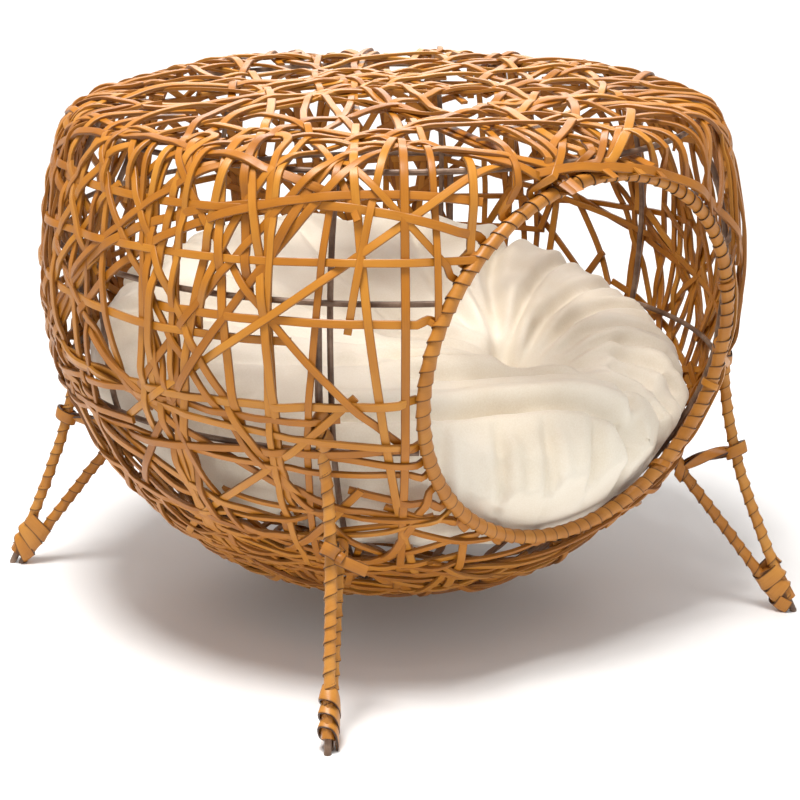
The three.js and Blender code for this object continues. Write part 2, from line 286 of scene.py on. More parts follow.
def ramp(nodes, stops):
    node = nodes.new("ShaderNodeValToRGB")
    for element, (position, colour) in zip(node.color_ramp.elements, (stops[0], stops[-1])):
        element.position, element.color = position, (*colour, 1)
    for position, colour in stops[1:-1]:
        node.color_ramp.elements.new(position).color = (*colour, 1)
    return node


def noise_texture(nodes, links, vector, scale, detail=3.0, roughness=0.55, stretch=None):
    if stretch:
        mapping = nodes.new("ShaderNodeMapping")
        mapping.inputs["Scale"].default_value = stretch
        links.new(vector, mapping.inputs["Vector"])
        vector = mapping.outputs["Vector"]
    node = nodes.new("ShaderNodeTexNoise")
    node.inputs["Scale"].default_value = scale
    node.inputs["Detail"].default_value = detail
    node.inputs["Roughness"].default_value = roughness
    links.new(vector, node.inputs["Vector"])
    return node.outputs["Fac"]


def math_node(nodes, links, operation, a, b):
    node = nodes.new("ShaderNodeMath")
    node.operation = operation
    for socket, value in zip(node.inputs, (a, b)):
        if isinstance(value, (int, float)):
            socket.default_value = value
        else:
            links.new(value, socket)
    return node.outputs[0]


def attribute(nodes, name):
    node = nodes.new("ShaderNodeAttribute")
    node.attribute_name = name
    return node.outputs


def map_range(nodes, links, value, **sockets):
    node = nodes.new("ShaderNodeMapRange")
    for key, number in sockets.items():
        node.inputs[key.replace("_", " ")].default_value = number
    links.new(value, node.inputs["Value"])
    return node.outputs["Result"]


def bump(nodes, links, bsdf, height, strength, distance):
    node = nodes.new("ShaderNodeBump")
    node.inputs["Strength"].default_value = strength
    node.inputs["Distance"].default_value = distance
    links.new(height, node.inputs["Height"])
    links.new(node.outputs["Normal"], bsdf.inputs["Normal"])


# Painted shade: the dark brown laid on the edges and sides of the strips, where shade falls beside and
# between them.
EDGE_SHADE_COLOUR = (0.035, 0.010, 0.002, 1)


def rattan(name, dark, mid, light, edge_shade):
    """Split cane: a tint for each strip, blotches along it, fine grain running its length, and painted shade
    on its edges and sides, as strong as the last argument asks."""
    material, nodes, links, bsdf = shader(name, Specular_IOR_Level=0.4)
    grain = attribute(nodes, "grain")["Vector"]
    blotch = noise_texture(nodes, links, grain, 1.0, 2.0, 0.5, (18, 60, 1))
    fibre = noise_texture(nodes, links, grain, 1.0, 4.0, 0.65, (60, 1500, 1))
    mixed = math_node(nodes, links, "MULTIPLY", attribute(nodes, "tint")["Fac"], 0.3)
    for value, share in ((blotch, 0.55), (fibre, 0.25)):
        part = math_node(nodes, links, "MULTIPLY", value, share)
        mixed = math_node(nodes, links, "ADD", mixed, part)
    colour = ramp(nodes, [(0.2, dark), (0.55, mid), (0.92, light)])
    links.new(mixed, colour.inputs["Fac"])
    # Painted shade: each strip's bevels and sides are darkened towards the painted shade colour.
    rim = map_range(nodes, links, attribute(nodes, "edge")["Fac"], From_Min=0.8, To_Max=edge_shade)
    paint_edge_shade = nodes.new("ShaderNodeMix")
    paint_edge_shade.data_type = "RGBA"
    paint_edge_shade.inputs["B"].default_value = EDGE_SHADE_COLOUR
    links.new(rim, paint_edge_shade.inputs["Factor"])
    links.new(colour.outputs["Color"], paint_edge_shade.inputs["A"])
    links.new(paint_edge_shade.outputs["Result"], bsdf.inputs["Base Color"])
    rough = map_range(nodes, links, fibre, To_Min=0.3, To_Max=0.5)
    links.new(rough, bsdf.inputs["Roughness"])
    bump(nodes, links, bsdf, fibre, 0.35, 0.3 * MM)
    return material


def wire_material():
    """Thin old lacquer on steel wire: grey-brown, with darker rubbed patches."""
    material, nodes, links, bsdf = shader("frame_wire", Metallic=0.15)
    place = nodes.new("ShaderNodeTexCoord").outputs["Object"]
    patches = noise_texture(nodes, links, place, 60.0, 4.0, 0.6)
    rubbed, lacquer, dusty = (0.07, 0.034, 0.018), (0.17, 0.1, 0.062), (0.34, 0.235, 0.165)
    colour = ramp(nodes, [(0.3, rubbed), (0.5, lacquer), (0.75, dusty)])
    links.new(patches, colour.inputs["Fac"])
    links.new(colour.outputs["Color"], bsdf.inputs["Base Color"])
    rough = map_range(nodes, links, patches, To_Min=0.3, To_Max=0.6)
    links.new(rough, bsdf.inputs["Roughness"])
    bump(nodes, links, bsdf, patches, 0.2, 0.2 * MM)
    return material


def velvet_material():
    """Cream short-pile velvet: brushed patches of pile, soft sheen, fine nap."""
    material, nodes, links, bsdf = shader("cushion_velvet", Roughness=0.85, Specular_IOR_Level=0.2)
    bsdf.inputs["Sheen Weight"].default_value = 0.5
    bsdf.inputs["Sheen Roughness"].default_value = 0.35
    bsdf.inputs["Sheen Tint"].default_value = (1.0, 0.97, 0.92, 1)
    place = nodes.new("ShaderNodeTexCoord").outputs["Object"]
    brushed = noise_texture(nodes, links, place, 14.0, 3.0, 0.5)
    pile = noise_texture(nodes, links, place, 900.0, 2.0, 0.6)
    broad = math_node(nodes, links, "MULTIPLY", brushed, 0.7)
    mixed = math_node(nodes, links, "ADD", broad, math_node(nodes, links, "MULTIPLY", pile, 0.3))
    shade, cream, pale = (0.74, 0.65, 0.51), (0.82, 0.75, 0.63), (0.88, 0.825, 0.725)
    colour = ramp(nodes, [(0.3, shade), (0.5, cream), (0.7, pale)])
    links.new(mixed, colour.inputs["Fac"])
    links.new(colour.outputs["Color"], bsdf.inputs["Base Color"])
    bump(nodes, links, bsdf, pile, 0.25, 0.4 * MM)
    return material


RATTAN = rattan(
    "rattan_weave",
    dark=(0.24, 0.072, 0.004),
    mid=(0.43, 0.152, 0.009),
    light=(0.60, 0.27, 0.035),
    # how much shade is painted on the strips' edges and sides
    edge_shade=0.42,
)
PEEL = rattan(
    "rattan_peel",
    dark=(0.24, 0.08, 0.01),
    mid=(0.44, 0.17, 0.022),
    light=(0.6, 0.29, 0.06),
    # strong painted shade on the peel's edges, standing for the shade in the gaps between its wound turns
    edge_shade=0.97,
)
WIRE = wire_material()
VELVET = velvet_material()


# ---- the woven shell's surface ----

STRIP_WIDE = 5.0 * MM
STRIP_THICK = 2.5 * MM
SUNK = 0.8 * MM  # the middle layer of strips lies this far inside the CAD shell's outside


class Shell:
    """The weave's middle surface. s runs from the roof's middle over the shoulder and down the wall to the
    floor's middle."""

    def __init__(self):
        line = np.array(shell_profile())
        step = np.hypot(*np.diff(line, axis=0).T)
        s = np.concatenate([[0], np.cumsum(step)])
        self.step = 2 * MM
        grid = np.arange(0, s[-1], self.step)
        rz = np.stack([np.interp(grid, s, line[:, 0]), np.interp(grid, s, line[:, 1])], axis=1)
        rz[1:-1] = blur(rz, 14)[1:-1]
        slope = unit(np.gradient(rz, axis=0))
        out = np.stack([-slope[:, 1], slope[:, 0]], axis=1)
        rz = rz - out * SUNK
        self.r, self.z = np.maximum(rz[:, 0], 0.2 * MM), rz[:, 1]
        self.nr, self.nz = out[:, 0], out[:, 1]
        self.length = grid[-1]
        floor_edge = max(p[0] for p in line if p[1] < line[-1, 1] + 0.1 * MM)
        self.rim = self.length - floor_edge  # where the wall meets the flat floor
        self.shoulder = grid[np.argmax(self.r > ring_of("top_ring")[0])]

    def at(self, s, theta, height=0.0):
        """Points and outward normals at arc length s and angle theta (radians from the front towards +X)."""
        s, theta = np.asarray(s, float), np.asarray(theta, float)
        x = np.clip(s / self.step, 0, len(self.r) - 1.001)
        i = x.astype(int)
        f = x - i
        r, z, nr, nz = (a[i] * (1 - f) + a[i + 1] * f for a in (self.r, self.z, self.nr, self.nz))
        sin, cos = np.sin(theta), -np.cos(theta)
        normal = np.stack([nr * sin, nr * cos, nz], axis=-1)
        point = np.stack([r * sin, r * cos, z], axis=-1) + AXIS
        return point + normal * np.asarray(height)[..., None], normal

    def radius(self, s):
        return float(np.interp(s, np.arange(len(self.r)) * self.step, self.r))


SHELL = Shell()


def inside_hoop(point, margin=0.0):
    """Below 1 inside the entry's oval, taking in only the front of the basket."""
    d = point - HOOP_MID
    if point[1] > AXIS[1] - 0.05:
        return 9.0
    return math.hypot(d[0] / (HOOP_WIDE + margin), d @ HOOP_UP / (HOOP_TALL + margin))


STEP = 4.5 * MM  # between the points of a strip's path
HOOP_REACH = 5 * MM  # a strip ends once it is this far from the entry's centre line


def walk(s, theta, heading, length, bends=(), wander=0.0, follow=False, stop=9.0):
    """Points (s, theta) of a strip that starts at heading (radians from straight down the wall, towards +X)
    and ends at the entry, the roof's middle, the flat floor or stop. follow keeps its heading, else it runs
    as a straight strip does on a round wall. bends lists (from, to, curvature) along its length."""
    path = [(s, theta)]
    drift = rng.uniform(-1, 1) * wander
    for i in range(int(length / STEP)):
        r = SHELL.radius(s)
        if i % 14 == 13:
            drift = rng.uniform(-1, 1) * wander
        turn = drift + sum(c for first, last, c in bends if first <= i * STEP < last)
        if not follow:
            slope = (SHELL.radius(s + 2 * MM) - SHELL.radius(s - 2 * MM)) / (4 * MM)
            turn -= slope * math.sin(heading) / max(r, 0.02)
        heading += turn * STEP
        s += math.cos(heading) * STEP
        theta += math.sin(heading) * STEP / max(r, 0.01)
        if s < 4 * MM or s > min(stop, SHELL.rim - 6 * MM):
            break
        path.append((s, theta))
        point, _ = SHELL.at(s, theta)
        if inside_hoop(point, HOOP_REACH) < 1:
            break
    return path


def across_disc(away, theta, heading, length, bend, below=False):
    """An arc over the roof or under the floor, in the flattened disc, with its ends running on along the
    wall. Its middle lies at the distance away and the angle theta, and points along heading."""
    x = away * math.sin(theta) - math.cos(heading) * length / 2
    y = -away * math.cos(theta) - math.sin(heading) * length / 2
    heading -= bend * length / 2
    path = []
    for _ in range(int(length / STEP)):
        rho = math.hypot(x, y)
        s = SHELL.length - rho if below else rho
        path.append((s, math.atan2(x, -y)))
        heading += bend * (0.3 if rho > SHELL.shoulder else 1) * STEP
        x += math.cos(heading) * STEP
        y += math.sin(heading) * STEP
        point, _ = SHELL.at(s, math.atan2(x, -y))
        if inside_hoop(point, HOOP_REACH) < 1:
            break
    return path


class Strip:
    """A strip's path on the shell. hooks says whether its start and its end turn round the entry hoop."""

    def __init__(self, path, group, start_hook, end_hook):
        self.s = np.array([p[0] for p in path])
        self.theta = np.unwrap([p[1] for p in path])
        self.group = group
        self.hooks = (start_hook, end_hook)
        self.height = None


UPRIGHTS, LOOPS, SLANTS, BANDS, BELLY = 60, 13, 23, 16, 118
ROOF_ARCS, FLOOR_ENDS, FLOOR_ARCS = 66, 44, 30
SHORTEST = 14  # points in a strip worth keeping


def random_strips():
    strips = []
    top = SHELL.shoulder

    def keep(path, group):
        if len(path) < SHORTEST:
            return
        ends = [inside_hoop(SHELL.at(*p)[0], 9 * MM) < 1 for p in (path[0], path[-1])]
        if ends[0] and inside_hoop(SHELL.at(*path[3])[0], HOOP_REACH) < 1:
            return
        strips.append(Strip(path, group, *ends))

    # uprights from the roof's edge over the shoulder to the floor
    for i in range(UPRIGHTS):
        theta = 2 * math.pi * (i + rng.uniform(-0.25, 0.25)) / UPRIGHTS
        start = top - rng.uniform(0.02, 0.09)
        lean = rng.gauss(0, 0.13)
        keep(walk(start, theta, lean, rng.uniform(0.38, 0.52), wander=0.4), "uprights")
    # loops that climb the wall, turn over the top ring and come down again
    for i in range(LOOPS):
        theta = 2 * math.pi * (i + rng.uniform(-0.4, 0.4)) / LOOPS
        rise = rng.uniform(0.19, 0.25)
        radius = rng.uniform(0.009, 0.02)
        way = rng.choice((-1, 1))
        turn = (rise, rise + math.pi * radius, -way / radius)
        length = rise * 2 + rng.uniform(0.05, 0.12)
        climb = walk(top + rise - 0.012, theta, math.pi + way * 0.12, length, (turn,), 0.3)
        keep(climb, "uprights")
    # slanting strips down to the belly, most of them rising to the right, in runs of one to three alongside
    for i in range(SLANTS):
        rising = i % 3 != 2
        theta = 2 * math.pi * (i + rng.uniform(-0.35, 0.35)) / SLANTS
        lean = (-1 if rising else 1) * rng.uniform(0.62, 1.12)
        for _ in range(rng.choice((1, 2, 2, 3)) if rising else 1):
            start = top - rng.uniform(-0.01, 0.05)
            deep = top + rng.uniform(0.19, 0.31)
            keep(walk(start, theta, lean + rng.gauss(0, 0.05), 0.9, wander=0.5, stop=deep), "slants")
            theta += rng.uniform(0.045, 0.085)
    # long bands round the open wall
    for i in range(BANDS):
        theta = 0.35 + 2 * math.pi * (i * 0.382 + rng.uniform(0, 0.1))
        start = top + 0.04 + 0.16 * (i + rng.random()) / BANDS
        lean = math.pi / 2 + rng.gauss(-0.04, 0.1)
        keep(walk(start, theta, lean, rng.uniform(0.6, 1.0), wander=0.6, follow=True), "bands")
    # belly, closer together
    for i in range(BELLY):
        theta = rng.uniform(0, 2 * math.pi)
        start = top + 0.185 + 0.19 * (i + rng.random()) / BELLY
        lean = rng.choice((-1, 1)) * (math.pi / 2 + rng.gauss(0, 0.5))
        keep(walk(start, theta, lean, rng.uniform(0.28, 0.46), wander=1.6, follow=True), "belly")
    # roof arcs
    for i in range(ROOF_ARCS):
        away = top * math.sqrt((i + 0.5) / ROOF_ARCS) * 0.97
        theta = i * GOLDEN_TURN + rng.uniform(-0.3, 0.3)
        heading = rng.uniform(0, 2 * math.pi)
        length = rng.uniform(0.3, 0.56)
        bend = rng.choice((-1, 1)) * rng.uniform(0.6, 4.4)
        keep(across_disc(away, theta, heading, length, bend), "roof")
    # ends on the bowl's lower wall, and arcs across its flat floor
    for i in range(FLOOR_ENDS):
        theta = rng.uniform(0, 2 * math.pi)
        start = SHELL.rim - rng.uniform(0.03, 0.17)
        keep(walk(start, theta, rng.uniform(-2.2, 2.2), rng.uniform(0.2, 0.4), wander=1.0), "floor")
    for i in range(FLOOR_ARCS):
        away = 0.115 * math.sqrt((i + 0.5) / FLOOR_ARCS)
        theta = i * GOLDEN_TURN + rng.uniform(-0.3, 0.3)
        heading = theta + rng.uniform(-0.9, 0.9)
        length = rng.uniform(0.26, 0.4)
        bend = rng.uniform(-2.5, 2.5)
        keep(across_disc(away, theta, heading, length, bend, below=True), "floor")
    return strips


def tree_of(points):
    tree = KDTree(len(points))
    for i, p in enumerate(points):
        tree.insert(p, i)
    tree.balance()
    return tree


CROSSED = 3.2 * MM  # points of two strips this near are one on the other
MOST_CUT = 12  # points cut from one end


def trim_ends(strips):
    """Cuts each free end just past the last strip it crosses, so that the end can tuck under it."""
    points = [SHELL.at(strip.s, strip.theta)[0] for strip in strips]
    owner = np.repeat(np.arange(len(strips)), [len(p) for p in points])
    tree = tree_of(np.vstack(points))
    for n, strip in enumerate(strips):
        crossed = [any(owner[j] != n for _, j, _ in tree.find_range(p, CROSSED)) for p in points[n]]
        count = len(crossed)
        first, last = 0, count - 1
        if not strip.hooks[0]:
            first = next((i for i in range(min(MOST_CUT, count)) if crossed[i]), 0)
        if not strip.hooks[1]:
            back = range(count - 1, max(count - 1 - MOST_CUT, 0), -1)
            last = next((i for i in back if crossed[i]), count - 1)
        if last - first > 10:
            low, high = max(first - 1, 0), min(last + 2, count)
            strip.s, strip.theta = strip.s[low:high], strip.theta[low:high]


LOOSE = {  # how far the strips of each group wander off the middle surface
    "roof": 8 * MM,
    "uprights": 2.4 * MM,
    "slants": 2.2 * MM,
    "bands": 1.8 * MM,
    "belly": 2.4 * MM,
    "floor": 1.5 * MM,
}
KNOT = 9  # points between the places that set how far
ROOF_RISE = 3.5 * MM  # the roof stands this much higher than its CAD solid's middle
TUCK = 5 * MM  # and a strip's ends lie this much lower


def loose_bulge(strip):
    """How far a strip stands off the middle surface where nothing holds it, with its loose ends tucked in."""
    n = len(strip.s)
    knots = [rng.uniform(-1, 1) for _ in range(n // KNOT + 3)]
    bulge = np.interp(np.arange(n), np.arange(len(knots)) * KNOT, knots) * LOOSE[strip.group]
    bulge += np.where(strip.s < SHELL.shoulder - 5 * MM, ROOF_RISE, 0)
    from_end = np.minimum(np.arange(n), np.arange(n)[::-1]) * STEP
    return blur(bulge, 6) - TUCK * np.exp(-((from_end / (12 * MM)) ** 2))


def at_free_end(strip, place):
    """Whether a point of a strip is beside an end that isn't hooked on the entry."""
    return int((place < 4 and not strip.hooks[0]) or (place > len(strip.s) - 5 and not strip.hooks[1]))


PAIR_REACH = 6.0 * MM  # points of two strips this near push each other apart
SETTLE_ROUNDS = 140
LOWEST, HIGHEST = -7 * MM, 8 * MM  # off the middle surface


def settle(strips):
    """Lifts and lowers the strips so that they cross over and under each other, and sets their heights."""
    flat = np.vstack([SHELL.at(strip.s, strip.theta)[0] for strip in strips])
    sizes = [len(strip.s) for strip in strips]
    owner = np.repeat(np.arange(len(strips)), sizes)
    local = np.concatenate([np.arange(size) for size in sizes])
    tree = tree_of(flat)
    over = {}  # which strip is on top, for each stretch of each two strips
    last = {}  # whether a strip was on top where it crossed last
    pairs, signs = [], []
    for i, p in enumerate(flat):
        for _, j, _ in tree.find_range(p, PAIR_REACH):
            if owner[j] <= owner[i]:
                continue
            key = (owner[i], owner[j], local[i] // 10, local[j] // 10)
            near = [(*key[:2], key[2] + a, key[3] + b) for a in (0, -1, 1) for b in (0, -1, 1)]
            sign = next((over[k] for k in near if k in over), None)
            if sign is None:
                want = -last.get(key[0], rng.choice((-1, 1))) + last.get(key[1], 0)
                ends = [at_free_end(strips[owner[k]], local[k]) for k in (i, j)]
                want += 4 * (ends[1] - ends[0])
                sign = (want > 0) - (want < 0) or rng.choice((-1, 1))
                last[key[0]], last[key[1]] = sign, -sign
            over[key] = sign
            pairs.append((i, j))
            signs.append(sign)
    pairs, signs = np.array(pairs), np.array(signs, float)
    distance = np.linalg.norm(flat[pairs[:, 0]] - flat[pairs[:, 1]], axis=1)
    need = STRIP_THICK * 1.06 * np.clip(1.9 - 1.3 * distance / PAIR_REACH, 0, 1)
    rest = np.concatenate([loose_bulge(strip) for strip in strips])
    h = rest.copy()
    inner = (np.diff(owner, prepend=-1) == 0) & (np.diff(owner, append=-1) == 0)
    count = np.bincount(pairs.ravel(), minlength=len(h))
    for _ in range(SETTLE_ROUNDS):
        lap = np.zeros(len(h))
        lap[1:-1] = 0.5 * (h[:-2] + h[2:]) - h[1:-1]
        h += np.where(inner, 0.75 * lap, 0)
        h += 0.02 * (rest - h)
        gap = signs * (h[pairs[:, 0]] - h[pairs[:, 1]])
        push = np.maximum(need - gap, 0) * 0.5 * signs
        move = np.zeros(len(h))
        np.add.at(move, pairs[:, 0], push)
        np.add.at(move, pairs[:, 1], -push)
        h += move / np.maximum(count, 1) ** 0.6
        h = np.clip(h, LOWEST, HIGHEST)
    for strip, heights in zip(strips, np.split(h, np.cumsum(sizes)[:-1])):
        strip.height = blur(heights, 1)


ENDS_BEHIND = 0.8  # share of the strips that end behind the hoop instead of round it


def hook(point, normal, travel):
    """The end of a strip at the entry hoop: behind the rod, or over the outside, round it and back inside."""
    d = point - HOOP_MID
    turn = math.atan2(d[0] / HOOP_WIDE, d @ HOOP_UP / HOOP_TALL)
    centre = hoop_point(turn)
    along = unit(hoop_point(turn + 0.01) - hoop_point(turn - 0.01))
    inward = unit(HOOP_MID - centre - along * ((HOOP_MID - centre) @ along))
    out = np.cross(along, inward)
    if out @ normal < 0:
        out = -out
    if rng.random() < ENDS_BEHIND or centre[2] > HOOP_MID[2] + 0.8 * HOOP_TALL:
        behind = centre - out * (HOOP_ROD + 1.6 * MM)
        return np.array([behind - inward * 7 * MM, behind - inward * 1.5 * MM]), np.array([out, out])
    slide = max(-0.75, min(0.75, float(travel @ along))) * 9 * MM
    radius = HOOP_ROD + 1.3 * MM
    line, normals = [], []
    for a in np.linspace(-0.25, math.pi + 0.35, 12):
        radial = math.cos(a) * out + math.sin(a) * inward
        line.append(centre + radial * radius + along * slide * (a / math.pi - 0.3))
        normals.append(radial)
    tail = rng.uniform(3, 6) * MM
    back = -inward * 0.9 + along * slide / (12 * MM)
    last = line[-1]
    for t in np.linspace(0.3, 1, 4):
        line.append(last + back * tail * t - out * 1.5 * MM * t)
        normals.append(-out)
    return np.array(line), np.array(normals)


def strip_line(strip):
    """World points and normals of a strip, with its turns round the entry hoop."""
    line, normals = SHELL.at(strip.s, strip.theta, strip.height)
    if strip.hooks[1]:
        line, normals = with_hook(line, normals)
    if strip.hooks[0]:
        line, normals = with_hook(line[::-1], normals[::-1])
    dense = smooth_line(line, 3.5 * MM)
    arc, arc_dense = arc_length(line), arc_length(dense)
    arc_dense *= arc[-1] / arc_dense[-1]
    return dense, unit(resample(arc_dense, arc, normals))


def with_hook(line, normals):
    """The line and its normals with the turn at the hoop in place of the last few points."""
    turn, facing = hook(line[-1], normals[-1], unit(line[-1] - line[-3]))
    crest = turn[0][2] > HOOP_MID[2] + 0.75 * HOOP_TALL  # here the shell stands well outside the rod
    far = np.linalg.norm(line - turn[0], axis=1) > (16 if crest else 7) * MM
    far[: max(3, len(line) - 6)] = True
    keep = np.argmin(far) if not far.all() else len(line)
    return np.vstack([line[:keep], turn]), np.vstack([normals[:keep], facing])


def weave():
    strips = random_strips()
    trim_ends(strips)
    settle(strips)
    builders = {group: Builder() for group in ("uprights", "slants", "bands", "belly", "roof", "floor")}
    for strip in strips:
        line, normals = strip_line(strip)
        roll = rng.gauss(0, 0.10)
        side = np.cross(unit(np.gradient(line, axis=0)), normals)
        normals = unit(normals + side * roll)
        width = STRIP_WIDE * rng.uniform(0.88, 1.12) * (1.1 if strip.group == "roof" else 1)
        builders[strip.group].sweep(line, normals, width, STRIP_THICK)
    bays = [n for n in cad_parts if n.startswith("weave_bay_")]
    share = {"uprights": bays[:2], "slants": bays[2:4], "bands": bays[4:6], "belly": bays[6:]}
    share.update(roof=["weave_roof"], floor=["weave_floor"])
    for group, builder in builders.items():
        builder.build(f"weave_{group}_strips", RATTAN, "basket", "rattan_weave", share[group])


# ---- wire frame ----


RING_SHARE = 0.88  # of the CAD ring's thickness
RIB_THICK = 4 * MM
ROD_THICK = 5 * MM


def bare_wire(name, node, line, facing, thick, closed=False):
    """A round wire in place of a CAD node, level with the floor where it stands on it."""
    wire = Builder()
    wire.sweep(line, facing, thick, thick, ROUND_SECTION, closed=closed)
    wire.cut_below(0.0)
    wire.build(name, WIRE, "basket", "frame_wire", [node])


def frame_wires():
    for node in ("top_ring", "base_ring", "mid_ring", "lower_ring"):
        r, z, wire = ring_of(node)
        full = node in ("top_ring", "base_ring")
        low, _ = corners(node)
        start = 0 if full else math.degrees(math.acos(min(1, (AXIS[1] - low[1] - wire) / r)))
        angles = np.linspace(start, 360 - start, 181)
        angles = angles[:-1] if full else angles
        line = np.array([polar(r, z, a) for a in angles])
        facing = unit(line - AXIS - UP * z)
        bare_wire(f"{node}_wire", node, line, facing, RING_SHARE * 2 * wire, closed=full)
    for node in [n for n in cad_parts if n.startswith("rib_")]:
        line = smooth_line(rod_line(node, 26), 4 * MM)
        bare_wire(f"{node}_wire", node, line, unit(line - AXIS - UP * 0.2), RIB_THICK)


# ---- peel wound round rods ----


PEEL_PITCH = 9.6 * MM
PEEL_THICK = 1.0 * MM


def wind(builder, centre, radius, wide, start=0.0, lean=0.07):
    """Winds a strip of peel round a line of rod as one long helix whose turns just overlap."""
    tangent = unit(np.gradient(centre, axis=0))
    arc = arc_length(centre)
    side = unit(np.cross(tangent, np.array([0.31, 0.22, 0.93])))  # any direction that no rod runs in
    for i in range(1, len(side)):
        side[i] = unit(side[i - 1] - tangent[i] * (side[i - 1] @ tangent[i]))
    turns = arc[-1] / PEEL_PITCH
    count = int(turns * 16)
    wobble = blur([rng.uniform(-1, 1) for _ in range(count + 1)], 12)
    wobble /= max(1e-9, np.abs(wobble).max())
    t = np.linspace(0, 1, count + 1)
    at = np.clip(t + wobble * 0.12 * PEEL_PITCH / arc[-1], 0, 1) * arc[-1]
    along = unit(resample(at, arc, tangent))
    across = resample(at, arc, side)
    across = unit(across - along * (across * along).sum(axis=1, keepdims=True))
    phase = start + 2 * math.pi * turns * t
    radial = np.cos(phase)[:, None] * across + np.sin(phase)[:, None] * np.cross(along, across)
    line = resample(at, arc, centre) + radial * radius
    builder.sweep(line, unit(radial + along * lean), wide, PEEL_THICK)


def entry_hoop():
    centre = np.array([hoop_point(a) for a in np.linspace(0, 2 * math.pi, 161)[:-1]])
    facing = unit(centre - HOOP_MID)
    bare_wire("entry_hoop_core", "entry_hoop_rod", centre, facing, ROD_THICK, closed=True)
    wrap = Builder()
    centre = np.array([hoop_point(a) for a in np.linspace(math.pi, 3 * math.pi, 241)])
    wind(wrap, centre, HOOP_ROD - 0.1 * MM, 10.6 * MM, lean=0.09)
    hidden = ["entry_hoop_wrap", "hoop_top_lashing", "hoop_bottom_lashing"]
    wrap.build("entry_hoop_peel", PEEL, "basket", "rattan_peel", hidden)


def leg(name, angle):
    outer = rod_line(f"leg_{name}_outer_rod", 30)
    inner = rod_line(f"leg_{name}_inner_rod", 16)
    for label, line in (("outer", outer), ("inner", inner)):
        dense = smooth_line(line, 5 * MM)
        whole = np.vstack([dense[0] - UP * 1.2 * MM, dense])
        facing = np.tile(polar(1, 0, angle) - AXIS, (len(whole), 1))
        core = f"leg_{name}_{label}_core"
        bare_wire(core, f"leg_{name}_{label}_rod", whole, facing, ROD_THICK)
        wrap = Builder()
        belly = corners(f"leg_{name}_belly_binding")[1][2]
        top = belly if label == "outer" else line[-1][2] - 4 * MM
        part = dense[(dense[:, 2] > 10 * MM) & (dense[:, 2] < top)]
        wind(wrap, part, 3.2 * MM, 10.4 * MM, start=rng.uniform(0, 6))
        wrap.build(f"leg_{name}_{label}_peel", PEEL, "basket", "rattan_peel", [f"leg_{name}_{label}_wrap"])
    foot_binding(name, outer, inner)
    brace(name, outer, inner)
    belly_binding(name, angle, outer)


def at_height(line, z):
    """The point at height z of a line that climbs all the way."""
    return np.array([np.interp(z, line[:, 2], line[:, k]) for k in range(3)])


FOOT_TURNS, FOOT_LOW, FOOT_HIGH = 2.8, 9 * MM, 33 * MM


def foot_binding(name, outer, inner):
    """A wide strip wound round both rod ends, each turn standing a little proud of the one before."""
    start = rng.uniform(0, 6)
    line, normals, core, depth, facing = [], [], [], [], []
    for t in np.linspace(0, FOOT_TURNS, 90):
        z = FOOT_LOW + (FOOT_HIGH - FOOT_LOW) * t / FOOT_TURNS
        a, b = at_height(outer, z + 3 * MM), at_height(inner, z - 4.5 * MM)
        middle, across = (a + b) / 2, unit(b - a)
        axis = unit(UP - across * (UP @ across))
        other = np.cross(axis, across)
        half = np.linalg.norm(b - a) / 2
        c, s = math.cos(start - 2 * math.pi * t), math.sin(start - 2 * math.pi * t)
        x = half * max(-1, min(1, c * 2.2)) + 4.3 * MM * c
        y = 5.7 * MM * s
        line.append(middle + across * x + other * y - axis * 1.6 * MM * c)
        normals.append(unit(across * c * 0.7 + other * s) + axis * 0.16)
        core.append(middle - axis * 2 * MM)
        depth.append(2 * half + 7.6 * MM)
        facing.append(across)
    binding = Builder()
    binding.sweep(core, facing, 10 * MM, depth, ROUND_SECTION, tint=0.2)
    binding.cut_below(0.6 * MM)
    binding.sweep(blur(line, 2), unit(np.array(normals)), 10.6 * MM, 1.6 * MM, tint=0.6)
    binding.cut_below(0.4 * MM)
    binding.build(f"leg_{name}_foot_strips", PEEL, "basket", "rattan_peel", [f"leg_{name}_foot_binding"])


BAND_TURNS = 1.08
BAND_THICK = 1.9 * MM


def tilted_loop(builder, middle, along, out, wide, deep, tilt, strip, spin, rise=0.0):
    """A band round a rod: an oval reaching out by deep and sideways by wide, tilted up towards out.
    spin is where round the rod it starts, rise how far it climbs in a turn."""
    side = unit(np.cross(along, out))
    face = unit(np.cross(side, along))
    line, normals = [], []
    for t in np.linspace(0, BAND_TURNS, int(30 * BAND_TURNS)):
        phi = spin + 2 * math.pi * t
        c, s = math.cos(phi), math.sin(phi)
        line.append(middle + face * deep * c + side * wide * s + along * (tilt * c + rise * t))
        normals.append(unit(face * c / deep + side * s / wide))
    builder.sweep(line, unit(np.array(normals)), strip, BAND_THICK)


